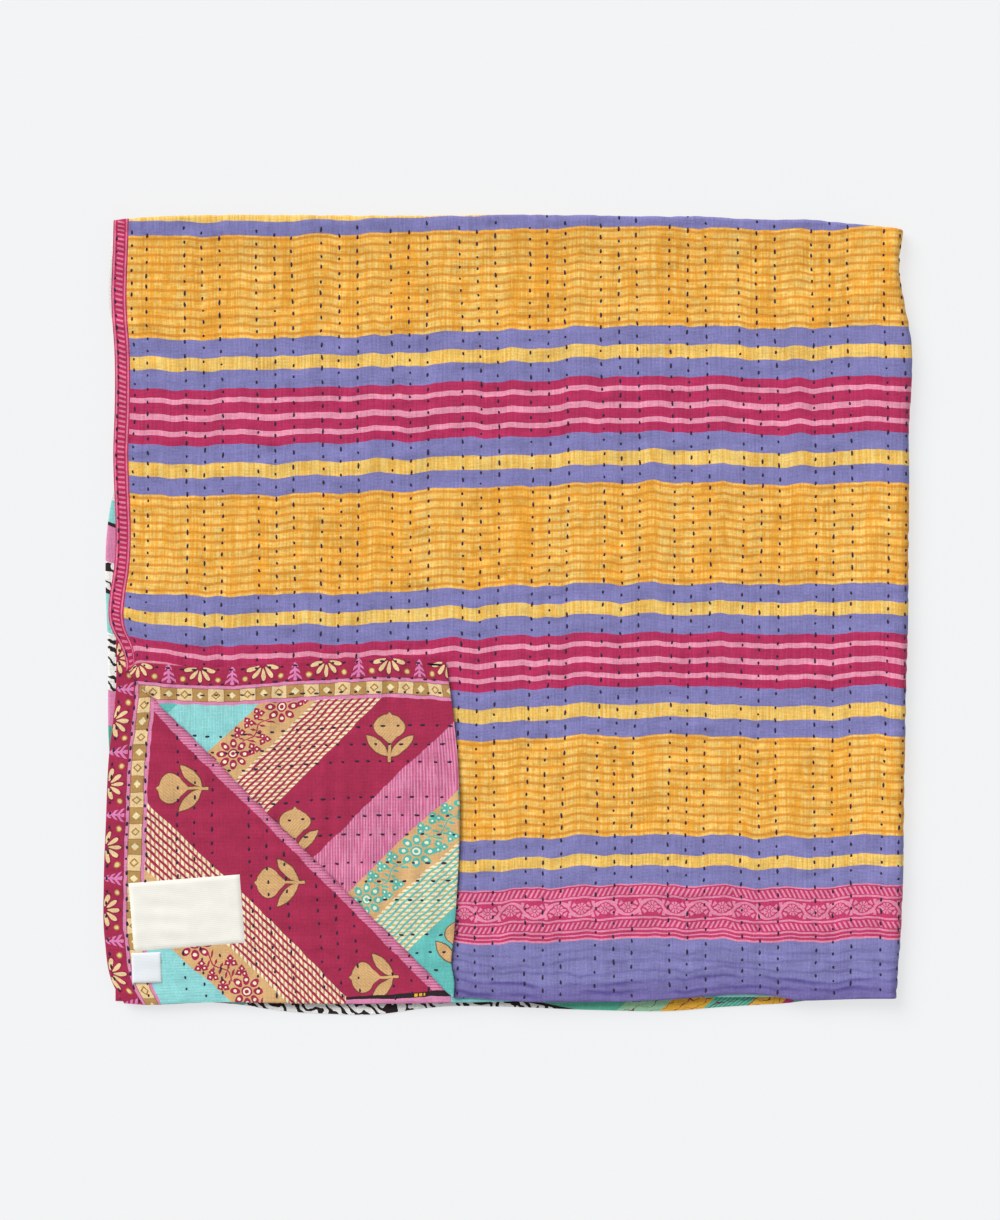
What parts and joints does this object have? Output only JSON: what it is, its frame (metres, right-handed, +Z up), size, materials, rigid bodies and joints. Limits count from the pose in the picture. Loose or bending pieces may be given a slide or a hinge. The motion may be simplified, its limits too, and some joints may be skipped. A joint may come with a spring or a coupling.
{
  "type": "quilted throw",
  "caption": "Quilted cotton throw folded in four: striped front on top, one corner turned back over the printed reverse and two plain sewn labels.",
  "frame": {"origin": "centre of the folded throw's box, on the surface that it lies on", "axes": "+Z up out of the pile of layers; +X towards the side fold; +Y towards the top fold"},
  "size_m": [0.7687, 0.7615, 0.0191],
  "materials": {
    "quilted_cotton": "matte woven cotton",
    "cream_tape": "matte woven tape",
    "white_tape": "satin tape"
  },
  "bodies": {
    "root": {"quilt": "quilted_cotton", "name_label": "cream_tape", "care_label": "white_tape"}
  },
  "joints": []
}
